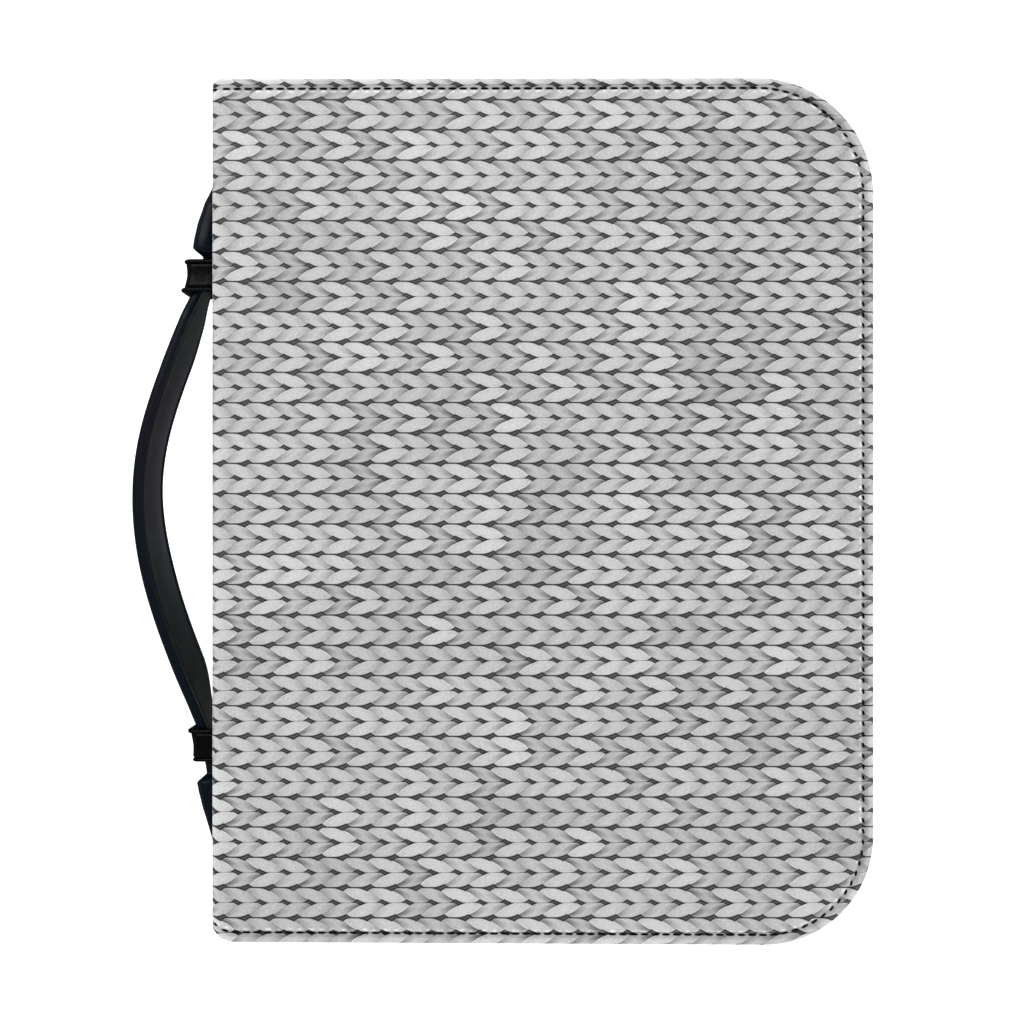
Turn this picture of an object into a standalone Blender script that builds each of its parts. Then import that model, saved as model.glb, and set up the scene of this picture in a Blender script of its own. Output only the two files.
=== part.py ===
"""Zip-round bible cover of printed leather, with a slide-through carrying handle on its spine.

The cover lies on its back. +X runs from the spine to the fore edge, +Y to the head and +Z out of the
front cover. The origin is the middle of the back cover's outer face. All sizes are in metres.
"""

import math

import bmesh
import bpy
from mathutils import Vector

# Cover: one leather wrap over boards, which makes the front, the spine and the back
COVER_WIDTH = 0.2110
COVER_HEIGHT = 0.2750
COVER_DEPTH = 0.0440
HEAD_FLARE = 0.0004
FOOT_FLARE = 0.0011
HEAD_CORNER_RADIUS = 0.0372
FOOT_CORNER_RADIUS = 0.0350
WALL = 0.0030
FOLD_RADIUS = 0.0042
SPINE_RECESS = 0.0015
FRONT_CROWN = 0.0012
EDGE_ROUNDING = 0.0011
HEAD_PULL = 0.0020
HEAD_PULL_LENGTH = 0.0030
FOOT_PULL = 0.0042
FOOT_PULL_LENGTH = 0.0078

# Zip: two tapes round the three open sides, the closed chain between them and its slider
CLEARANCE = 0.0003
TAPE_THICKNESS = 0.0012
TAPE_INSET_AT_PANEL = 0.0045
TAPE_INSET_AT_CHAIN = 0.0054
CHAIN_WIDTH = 0.0050
CHAIN_THICKNESS = 0.0024
CHAIN_START = 0.0170
SLIDER_LENGTH = 0.0120
SLIDER_WIDTH = 0.0090
SLIDER_PLATE = 0.0012
SLIDER_POST_LENGTH = 0.0030
SLIDER_POST_WIDTH = 0.0030
PULL_LENGTH = 0.0260
PULL_WIDTH = 0.0058
PULL_THICKNESS = 0.0011
PULL_STANDOFF = 0.0004

# Handle: a flat strap whose thick barbed ends are held by two keepers on the spine
KEEPER_SPACING = 0.1527
KEEPER_LENGTH = 0.0104
KEEPER_WALL = 0.0011
KEEPER_BEAD = 0.0008
KEEPER_CORNER = 0.0014
KEEPER_FLARE = 0.0009
KEEPER_SIDE_PLAY = 0.0005
KEEPER_TOP_PLAY = 0.0002
STRAP_WIDTH = 0.0210
STRAP_THICKNESS = 0.0032
NECK_WIDTH = 0.0165
BOW_HEIGHT = 0.0256
BOW_APEX = 0.0050
BARB_LENGTH = 0.0260
BARB_WIDTH = 0.0225
BARB_THICKNESS = 0.0064
SHOULDER_LENGTH = 0.0026
GRIP_TWIST = math.radians(9.8)
GRIP_STEPS = 22

# For each keeper: the strap's lift where it leaves it towards its barb, the power that shapes the
# bow on that side and the gap from the keeper to the barb's neck
KEEPERS = {
    1: {"name": "keeper_upper", "lift": 0.0036, "power": 1.34, "barb_gap": 0.0004},
    -1: {"name": "keeper_lower", "lift": 0.0028, "power": 1.60, "barb_gap": 0.0038},
}

# Barb outline from its shoulder to its tip, as shares of BARB_LENGTH, BARB_WIDTH and the height
# that the barb adds over the strap
BARB_SECTIONS = (
    {"along": 0.00, "width": 1.00, "height": 1.00},
    {"along": 0.12, "width": 1.00, "height": 0.90},
    {"along": 0.32, "width": 0.94, "height": 0.66},
    {"along": 0.60, "width": 0.80, "height": 0.14},
    {"along": 0.80, "width": 0.60, "height": -0.16},
    {"along": 0.95, "width": 0.36, "height": -0.38},
    {"along": 1.00, "width": 0.20, "height": -0.53},
)

SPINE_X = -COVER_WIDTH / 2
FORE_X = COVER_WIDTH / 2
MID_Z = COVER_DEPTH / 2
COLOURS = {
    "cover_wrap": ((0.52, 0.52, 0.52), 0.55, 0.0),
    "tape": ((0.012, 0.012, 0.013), 0.85, 0.0),
    "chain": ((0.02, 0.02, 0.022), 0.45, 0.0),
    "slider": ((0.05, 0.05, 0.055), 0.30, 0.8),
    "strap": ((0.012, 0.017, 0.022), 0.38, 0.0),
    "keeper": ((0.008, 0.011, 0.014), 0.30, 0.0),
}


def clear_scene():
    for thing in list(bpy.data.objects):
        bpy.data.objects.remove(thing, do_unlink=True)


def make_material(name):
    colour, roughness, metallic = COLOURS[name]
    material = bpy.data.materials.new(name)
    material.use_nodes = True
    shader = material.node_tree.nodes["Principled BSDF"]
    shader.inputs["Base Color"].default_value = (*colour, 1.0)
    shader.inputs["Roughness"].default_value = roughness
    shader.inputs["Metallic"].default_value = metallic
    return material


def add_object(name, mesh, material, collection):
    thing = bpy.data.objects.new(name, mesh)
    collection.objects.link(thing)
    mesh.materials.append(material)
    mesh.shade_smooth()
    mesh.set_sharp_from_angle(angle=math.radians(40))
    return thing


def mesh_from_rings(name, rings, closed_round, closed_along):
    """A mesh of quads between equal rings of points. Ends that don't close along are capped."""
    bm = bmesh.new()
    loops = [[bm.verts.new(point) for point in ring] for ring in rings]
    count = len(rings[0])
    spans = count if closed_round else count - 1
    for i in range(len(loops) if closed_along else len(loops) - 1):
        first = loops[i]
        second = loops[(i + 1) % len(loops)]
        for j in range(spans):
            k = (j + 1) % count
            bm.faces.new((first[j], second[j], second[k], first[k]))
    if closed_round and not closed_along:
        bm.faces.new(loops[0][::-1])
        bm.faces.new(loops[-1])
    if closed_round:
        bmesh.ops.recalc_face_normals(bm, faces=bm.faces)
    mesh = bpy.data.meshes.new(name)
    bm.to_mesh(mesh)
    bm.free()
    return mesh


def add_wall(thing, thickness, rounding):
    """Solidify behind the modelled face, then round the rim."""
    solid = thing.modifiers.new("wall", "SOLIDIFY")
    solid.thickness = thickness
    solid.offset = -1.0
    solid.use_even_offset = True
    solid.use_quality_normals = True
    if rounding:
        rim = thing.modifiers.new("rim", "BEVEL")
        rim.width = rounding
        rim.segments = 2
        rim.limit_method = "ANGLE"
        rim.angle_limit = math.radians(55)


def corner_drop(x, radius):
    """How far a rounded corner has fallen away from its straight edge at x."""
    run = x - (FORE_X - radius)
    if run <= 0:
        return 0.0
    return radius - math.sqrt(max(radius * radius - run * run, 0.0))


def spine_pull(x, pull, length):
    """How far the edge is drawn in where the wrap turns into the spine."""
    away = max(x - SPINE_X, 0.0)
    if away >= length:
        return 0.0
    return pull * (1 - away / length) ** 2


def straight_head(x):
    return COVER_HEIGHT / 2 + HEAD_FLARE * (x - SPINE_X) / COVER_WIDTH


def straight_foot(x):
    return -COVER_HEIGHT / 2 - FOOT_FLARE * (x - SPINE_X) / COVER_WIDTH


def head_edge(x):
    ease = spine_pull(x, HEAD_PULL, HEAD_PULL_LENGTH)
    return straight_head(x) - corner_drop(x, HEAD_CORNER_RADIUS) - ease


def foot_edge(x):
    ease = spine_pull(x, FOOT_PULL, FOOT_PULL_LENGTH)
    return straight_foot(x) + corner_drop(x, FOOT_CORNER_RADIUS) + ease


def panel_columns():
    """Places across a panel, from the fore edge to the start of the spine fold."""
    radius = max(HEAD_CORNER_RADIUS, FOOT_CORNER_RADIUS)
    corner_steps = 9
    columns = [
        FORE_X - radius + radius * math.sin(math.radians(90) * (1 - i / corner_steps))
        for i in range(corner_steps + 1)
    ]
    pull_end = SPINE_X + max(FOOT_PULL_LENGTH, HEAD_PULL_LENGTH, FOLD_RADIUS * 1.5)
    flat_steps = 6
    start = columns[-1]
    columns += [start + (pull_end - start) * i / flat_steps for i in range(1, flat_steps + 1)]
    fold_start = SPINE_X + FOLD_RADIUS
    columns.append((pull_end + fold_start) / 2)
    columns.append(fold_start)
    return columns


def spine_surface(z):
    """How far the spine's outer face stands out from the spine plane at height z: it is hollow."""
    share = (z - MID_Z) / (MID_Z - FOLD_RADIUS)
    return -SPINE_RECESS * (1 - share**4)


def wrap_section():
    """Outer face of the wrap in the XZ plane, from the front fore edge round the spine to the back."""
    front = [(x, COVER_DEPTH, True) for x in panel_columns()]
    fold_steps = 4
    spine_steps = 6
    turn = [math.radians(90) * i / fold_steps for i in range(1, fold_steps)]
    upper = [
        (
            SPINE_X + FOLD_RADIUS * (1 - math.sin(a)),
            COVER_DEPTH - FOLD_RADIUS * (1 - math.cos(a)),
            False,
        )
        for a in turn
    ]
    half = MID_Z - FOLD_RADIUS
    spine = []
    for i in range(spine_steps + 1):
        share = 1 - 2 * i / spine_steps
        z = MID_Z + half * share
        spine.append((SPINE_X - spine_surface(z), z, False))
    lower = [(x, COVER_DEPTH - z, False) for x, z, _ in reversed(upper)]
    back = [(x, 0.0, False) for x, _, _ in reversed(front)]
    return front + upper + spine + lower + back


def front_crown(x, share):
    """Rise of the padded front at x, and at a share of the half height from the middle."""
    across = 2 * x / COVER_WIDTH
    return FRONT_CROWN * (1 - across**4) * (1 - share**4)


def build_cover_wrap(materials, collection):
    rows = 20
    rings = []
    for x, z, crowned in wrap_section():
        head = head_edge(x)
        foot = foot_edge(x)
        ring = []
        for i in range(rows + 1):
            share = 1 - 2 * i / rows
            y = (head + foot) / 2 + share * (head - foot) / 2
            rise = front_crown(x, share) if crowned else 0.0
            ring.append((x, y, z + rise))
        rings.append(ring)
    mesh = mesh_from_rings("cover_wrap", rings, False, False)
    wrap = add_object("cover_wrap", mesh, materials["cover_wrap"], collection)
    add_wall(wrap, WALL, EDGE_ROUNDING)


def zip_outline(start_head, start_foot):
    """The three open sides as points with inward normals, from head end to foot end.

    start_head and start_foot are how far from the spine plane the run begins and ends.
    """
    arc_steps = 10
    edge_steps = 8
    head_turn = FORE_X - HEAD_CORNER_RADIUS
    foot_turn = FORE_X - FOOT_CORNER_RADIUS
    points = []
    for i in range(edge_steps):
        x = SPINE_X + start_head + (head_turn - SPINE_X - start_head) * i / edge_steps
        points.append((x, straight_head(x)))
    for i in range(arc_steps + 1):
        turn = math.radians(90) * i / arc_steps
        x = head_turn + HEAD_CORNER_RADIUS * math.sin(turn)
        points.append((x, straight_head(x) - HEAD_CORNER_RADIUS * (1 - math.cos(turn))))
    top = points[-1][1]
    bottom = straight_foot(FORE_X) + FOOT_CORNER_RADIUS
    for i in range(1, edge_steps):
        points.append((FORE_X, top + (bottom - top) * i / edge_steps))
    for i in range(arc_steps + 1):
        turn = math.radians(90) * (1 - i / arc_steps)
        x = foot_turn + FOOT_CORNER_RADIUS * math.sin(turn)
        points.append((x, straight_foot(x) + FOOT_CORNER_RADIUS * (1 - math.cos(turn))))
    for i in range(1, edge_steps + 1):
        x = foot_turn + (SPINE_X + start_foot - foot_turn) * i / edge_steps
        points.append((x, straight_foot(x)))
    run = []
    for i, point in enumerate(points):
        before = Vector(points[max(i - 1, 0)])
        after = Vector(points[min(i + 1, len(points) - 1)])
        along = (after - before).normalized()
        run.append((Vector(point), Vector((along.y, -along.x))))
    return run


def band_rings(run, levels):
    """Rings of a band: each point of the run at each (inset, z) level, from front to back."""
    rings = []
    for point, inward in run:
        ring = []
        for inset, z in levels:
            place = point + inward * inset
            ring.append((place.x, place.y, z))
        rings.append(ring)
    return rings


def build_zip_band(name, levels, thickness, rounding, material, collection):
    """A band round the three open sides, through the given (inset, z) levels of its outer face."""
    start = SPINE_RECESS + WALL + CLEARANCE
    foot_start = CHAIN_START if name == "zip_chain" else start
    run = zip_outline(start, foot_start)
    mesh = mesh_from_rings(name, band_rings(run, levels), False, False)
    band = add_object(name, mesh, material, collection)
    add_wall(band, thickness, rounding)


def build_zip_tape(name, at_panel, at_chain, materials, collection):
    """A tape from a panel's inner face to the chain, at the two heights given."""
    middle_inset = (TAPE_INSET_AT_PANEL + TAPE_INSET_AT_CHAIN) / 2
    levels = [
        (TAPE_INSET_AT_PANEL, at_panel),
        (middle_inset, (at_panel + at_chain) / 2),
        (TAPE_INSET_AT_CHAIN, at_chain),
    ]
    if at_panel < at_chain:
        levels.reverse()
    build_zip_band(name, levels, TAPE_THICKNESS, 0, materials["tape"], collection)


def chain_inset():
    """Inset of the chain's outer face: the chain is centred on the tapes' thickness."""
    return TAPE_INSET_AT_CHAIN + TAPE_THICKNESS / 2 - CHAIN_THICKNESS / 2


def build_zip_chain(materials, collection):
    half = CHAIN_WIDTH / 2
    levels = [(chain_inset(), MID_Z + half), (chain_inset(), MID_Z - half)]
    rounding = CHAIN_THICKNESS / 4
    build_zip_band("zip_chain", levels, CHAIN_THICKNESS, rounding, materials["chain"], collection)


def box_mesh(low, high):
    bm = bmesh.new()
    bmesh.ops.create_cube(bm, size=1.0)
    for vert in bm.verts:
        vert.co = Vector(low[k] + (vert.co[k] + 0.5) * (high[k] - low[k]) for k in range(3))
    mesh = bpy.data.meshes.new("block")
    bm.to_mesh(mesh)
    bm.free()
    return mesh


def build_zip_slider(materials, collection, cutters):
    """Slider past the chain's foot end, with its bail and pull in one piece, inside the outline."""
    start = SPINE_X + CHAIN_START - CLEARANCE - SLIDER_POST_LENGTH
    foot = straight_foot(start + SLIDER_LENGTH / 2)
    chain_out = foot + chain_inset()
    chain_in = chain_out + CHAIN_THICKNESS
    slope = abs(FOOT_FLARE) * SLIDER_LENGTH / COVER_WIDTH
    play = CLEARANCE + slope
    plate_top = chain_out - play
    plate_low = plate_top - SLIDER_PLATE
    inner_low = chain_in + play
    bail_end = start + SLIDER_LENGTH * 0.75
    pull_top = plate_low - PULL_STANDOFF
    pull_low = pull_top - PULL_THICKNESS
    half = SLIDER_WIDTH / 2
    bite = SLIDER_PLATE / 2
    post = SLIDER_POST_WIDTH / 2
    blocks = (
        ((start, plate_low, -half), (start + SLIDER_LENGTH, plate_top, half)),
        ((start, inner_low, -half), (start + SLIDER_LENGTH, inner_low + SLIDER_PLATE, half)),
        ((start, plate_top - bite, -post), (start + SLIDER_POST_LENGTH, inner_low + bite, post)),
        ((start + SLIDER_LENGTH * 0.45, pull_low, -post), (bail_end, plate_low + bite, post)),
        (
            (bail_end - SLIDER_POST_LENGTH, pull_low, -PULL_WIDTH / 2),
            (bail_end - SLIDER_POST_LENGTH + PULL_LENGTH, pull_top, PULL_WIDTH / 2),
        ),
    )
    slider = None
    for low, high in blocks:
        low = (low[0], low[1], low[2] + MID_Z)
        high = (high[0], high[1], high[2] + MID_Z)
        mesh = box_mesh(low, high)
        if slider is None:
            slider = add_object("zip_slider", mesh, materials["slider"], collection)
            continue
        block = bpy.data.objects.new("slider_block", mesh)
        cutters.objects.link(block)
        block.hide_render = True
        block.display_type = "WIRE"
        join = slider.modifiers.new("join", "BOOLEAN")
        join.operation = "UNION"
        join.object = block


def keeper_y(side):
    return side * KEEPER_SPACING / 2


def keeper_back():
    """Height of a keeper's flat back over the spine plane, clear of the spine at its corners."""
    half_width = NECK_WIDTH / 2 + KEEPER_SIDE_PLAY + KEEPER_WALL + KEEPER_BEAD
    return spine_surface(MID_Z + half_width) + CLEARANCE


def strap_lift(y):
    """Height of the strap's middle over the spine plane at y: bowed between the keepers, and
    settling on the spine beyond them."""
    side = 1 if y > BOW_APEX else -1
    lift = max(KEEPERS[side]["lift"], keeper_back() + KEEPER_WALL + CLEARANCE + STRAP_THICKNESS / 2)
    mouth = keeper_y(side) + side * KEEPER_LENGTH / 2
    share = (y - BOW_APEX) / (mouth - BOW_APEX)
    if share <= 1:
        return lift + (BOW_HEIGHT - lift) * (1 - share * share) ** KEEPERS[side]["power"]
    rest = spine_surface(MID_Z + BARB_WIDTH / 2) + CLEARANCE + STRAP_THICKNESS / 2
    past = (abs(y) - abs(mouth)) / BARB_LENGTH
    return rest + (lift - rest) * max(0.0, 1 - past) ** 2


def strap_frame(y):
    """Place of the strap's middle at y, with the direction out of its outer face."""
    step = 0.0005
    here = Vector((SPINE_X - strap_lift(y), y, MID_Z))
    slope = (strap_lift(y + step) - strap_lift(y - step)) / (2 * step)
    outward = Vector((-1, -slope, 0)).normalized()
    return here, outward


def ease(share):
    """Smooth step from 0 to 1."""
    share = min(max(share, 0.0), 1.0)
    return share * share * (3 - 2 * share)


def grip_twist(y):
    """Turn of the strap about its own length: none at the keepers, full in the lower half."""
    share = (BOW_APEX - y) / (KEEPER_SPACING / 2)
    return GRIP_TWIST * ease((share + 0.75) / 1.4) * ease((1 - share) / 0.3)


def rounded_section(half_width, low, high, low_corner, high_corner, steps):
    """Points of a rounded rectangle as (across, height), with its own corner radius at each face."""
    corners = (
        (1, high - high_corner, high_corner, 0),
        (-1, high - high_corner, high_corner, 90),
        (-1, low + low_corner, low_corner, 180),
        (1, low + low_corner, low_corner, 270),
    )
    points = []
    for right, height, radius, begin in corners:
        across = right * (half_width - radius)
        for i in range(steps + 1):
            angle = math.radians(begin + 90 * i / steps)
            points.append((across + radius * math.cos(angle), height + radius * math.sin(angle)))
    return points


def strap_ring(y, width, low, high, low_corner, high_corner):
    """Rounded section across the strap: low and high are its faces' heights from the middle."""
    here, outward = strap_frame(y)
    turn = grip_twist(y)
    side = Vector((0, 0, 1))
    out = outward * math.cos(turn) - side * math.sin(turn)
    across = side * math.cos(turn) + outward * math.sin(turn)
    section = rounded_section(width / 2, low, high, low_corner, high_corner, 2)
    return [here + across * w + out * h for w, h in section]


def grip_stations(side):
    """Places along one half of the grip, from where the strap is wide to short of the bow's top."""
    start = keeper_y(side) - side * KEEPER_LENGTH * 1.6
    return [start + (BOW_APEX - start) * i / GRIP_STEPS for i in range(GRIP_STEPS)]


def strap_half(side):
    """Stations of one half of the strap from its tip towards the bow's top: (y, width, high)."""
    half = STRAP_THICKNESS / 2
    added = BARB_THICKNESS - STRAP_THICKNESS
    keeper = keeper_y(side)
    neck = keeper + side * (KEEPER_LENGTH / 2 + KEEPERS[side]["barb_gap"])
    shoulder = neck + side * SHOULDER_LENGTH
    stations = []
    for section in reversed(BARB_SECTIONS):
        y = shoulder + side * BARB_LENGTH * section["along"]
        stations.append((y, BARB_WIDTH * section["width"], half + added * section["height"]))
    stations.append((neck, NECK_WIDTH, half))
    inside = 4
    for i in range(inside + 1):
        stations.append((keeper + side * KEEPER_LENGTH * (0.5 - i / inside), NECK_WIDTH, half))
    stations.append((keeper - side * KEEPER_LENGTH, (NECK_WIDTH + STRAP_WIDTH) / 2, half))
    stations += [(y, STRAP_WIDTH, half) for y in grip_stations(side)]
    return stations


def build_handle_strap(materials, collection):
    half = STRAP_THICKNESS / 2
    stations = strap_half(1) + [(BOW_APEX, STRAP_WIDTH, half)] + strap_half(-1)[::-1]
    rings = []
    for y, width, high in stations:
        corner = min((high + half) * 0.4, width * 0.3)
        rings.append(strap_ring(y, width, -half, high, corner, corner))
    mesh = mesh_from_rings("handle_strap", rings, True, False)
    add_object("handle_strap", mesh, materials["strap"], collection)


def keeper_reach(side, y):
    """Height of the inside of the keeper's outer wall, clear of the strap where it is highest."""
    mouth = keeper_y(side) - side * KEEPER_LENGTH / 2
    top = strap_lift(mouth) + STRAP_THICKNESS / 2 + KEEPER_TOP_PLAY + CLEARANCE
    near = side * (keeper_y(side) - y) / (KEEPER_LENGTH / 2)
    return top + KEEPER_FLARE * max(near, 0.0)


def keeper_profile():
    """Section through a keeper's wall as (out, along), with a rolled bead round each mouth."""
    half = KEEPER_LENGTH / 2
    bead = KEEPER_BEAD
    upper = [
        (0.0, half),
        (KEEPER_WALL * 0.5, half + bead * 0.3),
        (KEEPER_WALL + bead * 0.7, half),
        (KEEPER_WALL + bead, half - bead),
        (KEEPER_WALL + bead * 0.7, half - bead * 2),
        (KEEPER_WALL, half - bead * 2.8),
        (KEEPER_WALL, 0.0),
    ]
    lower = [(out, -along) for out, along in reversed(upper[:-1])]
    return upper + lower + [(0.0, 0.0)]


def build_keeper(side, materials, collection):
    """A sleeve whose outer wall and sides are beaded. Its back lies flat on the spine."""
    half_width = NECK_WIDTH / 2 + KEEPER_SIDE_PLAY
    inner_back = keeper_back() + KEEPER_WALL
    rings = []
    for out, along in keeper_profile():
        y = keeper_y(side) + along
        high = keeper_reach(side, y) + out
        low = inner_back - min(out, KEEPER_WALL)
        radius = min(KEEPER_CORNER + out * 0.8, (high - low) * 0.45)
        foot = min(radius, KEEPER_CORNER * 0.4)
        section = rounded_section(half_width + out, low, high, foot, radius, 3)
        rings.append([(SPINE_X - h, y, MID_Z + w) for w, h in section])
    name = KEEPERS[side]["name"]
    mesh = mesh_from_rings(name, rings, True, True)
    add_object(name, mesh, materials["keeper"], collection)


def main():
    clear_scene()
    collection = bpy.data.collections.new("bible_cover")
    cutters = bpy.data.collections.new("cutters")
    bpy.context.scene.collection.children.link(collection)
    bpy.context.scene.collection.children.link(cutters)
    materials = {name: make_material(name) for name in COLOURS}
    build_cover_wrap(materials, collection)
    edge_gap = WALL + CLEARANCE
    chain_gap = CHAIN_WIDTH / 2 + CLEARANCE
    build_zip_tape("zip_tape_front", COVER_DEPTH - edge_gap, MID_Z + chain_gap, materials, collection)
    build_zip_tape("zip_tape_back", edge_gap, MID_Z - chain_gap, materials, collection)
    build_zip_chain(materials, collection)
    build_zip_slider(materials, collection, cutters)
    build_handle_strap(materials, collection)
    for side in KEEPERS:
        build_keeper(side, materials, collection)


main()
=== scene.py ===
import math

import bpy
import numpy as np
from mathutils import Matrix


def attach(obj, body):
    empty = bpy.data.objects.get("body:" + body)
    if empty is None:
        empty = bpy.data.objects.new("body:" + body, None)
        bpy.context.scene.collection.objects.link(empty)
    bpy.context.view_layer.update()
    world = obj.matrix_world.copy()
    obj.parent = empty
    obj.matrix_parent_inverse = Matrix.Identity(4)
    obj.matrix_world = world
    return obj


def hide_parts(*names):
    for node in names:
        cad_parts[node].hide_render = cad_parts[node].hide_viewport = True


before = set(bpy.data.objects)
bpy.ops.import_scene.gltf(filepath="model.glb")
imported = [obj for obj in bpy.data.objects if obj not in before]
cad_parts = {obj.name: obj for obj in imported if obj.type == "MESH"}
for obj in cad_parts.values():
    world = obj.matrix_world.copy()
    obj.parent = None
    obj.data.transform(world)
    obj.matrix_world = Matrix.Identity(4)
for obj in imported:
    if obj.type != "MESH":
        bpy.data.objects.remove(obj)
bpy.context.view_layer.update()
print("frame loaded")

# Sizes of the cover in metres, in the frame's own axes: +X to the fore edge, +Y to the head
cover = {
    "width": 0.2110,
    "height": 0.2750,
    "depth": 0.0440,
    "headFlare": 0.0004,
    "footFlare": 0.0011,
    "headCorner": 0.0372,
    "footCorner": 0.0350,
    "wall": 0.0030,
    "fold": 0.0042,
    "spineRecess": 0.0015,
    "crown": 0.0012,
    "edgeRadius": 0.0013,
    "headPull": (0.0010, 0.0022),
    "footPull": (0.0036, 0.0074),
}
spineX = -cover["width"] / 2
foreX = cover["width"] / 2
midZ = cover["depth"] / 2


# Shader maths as Python expressions: a Sock is one output socket of a node tree

class Sock:
    def __init__(self, maker, socket):
        self.maker = maker
        self.socket = socket

    def math(self, operation, *others, clamp=False):
        return self.maker.math(operation, self, *others, clamp=clamp)

    def __add__(self, other): return self.math("ADD", other)
    def __radd__(self, other): return self.maker.math("ADD", other, self)
    def __sub__(self, other): return self.math("SUBTRACT", other)
    def __rsub__(self, other): return self.maker.math("SUBTRACT", other, self)
    def __mul__(self, other): return self.math("MULTIPLY", other)
    def __rmul__(self, other): return self.maker.math("MULTIPLY", other, self)
    def __truediv__(self, other): return self.math("DIVIDE", other)
    def __rtruediv__(self, other): return self.maker.math("DIVIDE", other, self)
    def __pow__(self, other): return self.math("POWER", other)
    def __neg__(self): return self.math("MULTIPLY", -1.0)
    def __gt__(self, other): return self.math("GREATER_THAN", other)
    def __lt__(self, other): return self.math("LESS_THAN", other)
    def __abs__(self): return self.math("ABSOLUTE")

    def floor(self): return self.math("FLOOR")
    def fract(self): return self.math("FRACT")
    def sin(self): return self.math("SINE")
    def least(self, other): return self.math("MINIMUM", other)
    def most(self, other): return self.math("MAXIMUM", other)
    def clip(self): return self.maker.math("ADD", self, 0.0, clamp=True)

    # 0 below low, 1 above high, eased between them
    def step(self, low, high):
        settings = {"interpolation_type": "SMOOTHSTEP"}
        inputs = {"Value": self, "From Min": low, "From Max": high}
        return self.maker.node("ShaderNodeMapRange", settings, inputs)

    # a hill of height 1 at centre that falls to 0 at centre +- reach
    def hill(self, centre, reach):
        return 1 - abs(self - centre).step(0.0, reach)


class Maker:
    # one material's node tree; constants go straight onto the shader's own sockets
    def __init__(self, name, roughness=0.5, metallic=0.0, **constants):
        self.material = bpy.data.materials.new(name)
        self.material.use_nodes = True
        self.tree = self.material.node_tree
        self.shader = self.tree.nodes["Principled BSDF"]
        self.shader.inputs["Roughness"].default_value = roughness
        self.shader.inputs["Metallic"].default_value = metallic
        for label, value in constants.items():
            self.shader.inputs[label.replace("_", " ")].default_value = value

    @classmethod
    def onTree(cls, tree):
        made = cls.__new__(cls)
        made.tree = tree
        return made

    def place(self, node, key, value):
        socket = node.inputs[key]
        if isinstance(value, Sock):
            self.tree.links.new(value.socket, socket)
        else:
            socket.default_value = value

    # any node: its settings first, then its sockets by name or number, and one output back
    def node(self, kind, settings, inputs, output=0):
        made = self.tree.nodes.new(kind)
        for label, value in settings.items():
            setattr(made, label, value)
        for key, value in inputs.items():
            self.place(made, key, value)
        return Sock(self, made.outputs[output])

    def math(self, operation, *values, clamp=False):
        settings = {"operation": operation, "use_clamp": clamp}
        return self.node("ShaderNodeMath", settings, dict(enumerate(values)))

    def uv(self, name):
        vector = self.node("ShaderNodeUVMap", {"uv_map": name}, {})
        parts = self.tree.nodes.new("ShaderNodeSeparateXYZ")
        self.tree.links.new(vector.socket, parts.inputs[0])
        return Sock(self, parts.outputs[0]), Sock(self, parts.outputs[1])

    def objectPlace(self):
        return self.node("ShaderNodeTexCoord", {}, {}, "Object")

    def vector(self, x, y, z=0.0):
        return self.node("ShaderNodeCombineXYZ", {}, {0: x, 1: y, 2: z})

    def noise(self, vector, scale, detail=2.0, roughness=0.5):
        inputs = {"Vector": vector, "Scale": scale, "Detail": detail, "Roughness": roughness}
        return self.node("ShaderNodeTexNoise", {"noise_dimensions": "3D"}, inputs)

    def random(self, x, y, z=0.0):
        place = self.vector(x, y, z)
        return self.node("ShaderNodeTexWhiteNoise", {"noise_dimensions": "3D"}, {"Vector": place})

    def mix(self, factor, first, second):
        settings = {"data_type": "RGBA"}
        return self.node("ShaderNodeMix", settings, {"Factor": factor, 6: first, 7: second}, 2)

    # a grey as seen on screen, made a linear colour
    def grey(self, value, tint=(1.0, 1.0, 1.0)):
        linear = value.most(0.0) ** 2.2
        channels = {i: linear * tint[i] for i in range(3)}
        return self.node("ShaderNodeCombineColor", {}, channels)

    def bump(self, height, distance, strength=1.0, normal=None):
        inputs = {"Height": height, "Distance": distance, "Strength": strength}
        if normal is not None:
            inputs["Normal"] = normal
        return self.node("ShaderNodeBump", {}, inputs)

    def put(self, **sockets):
        for label, value in sockets.items():
            self.place(self.shader, label.replace("_", " "), value)
        return self.material


# Meshes from arrays

# A surface through a grid of points, rows by columns, closed round or along where asked, with
# every UV map given as a grid of pairs. Coincident points at a pole or a seam are merged.
def gridPiece(name, points, material, uvs=None, closeRows=False, closeColumns=False, outward=False):
    rows, columns = points.shape[:2]
    index = np.arange(rows * columns).reshape(rows, columns)
    if closeRows:
        index = np.vstack([index, index[:1]])
    if closeColumns:
        index = np.hstack([index, index[:, :1]])
    quads = np.stack([index[:-1, :-1], index[:-1, 1:], index[1:, 1:], index[1:, :-1]], -1).reshape(-1, 4)
    return meshPiece(name, points.reshape(-1, 3), quads, material, uvs, outward)


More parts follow.
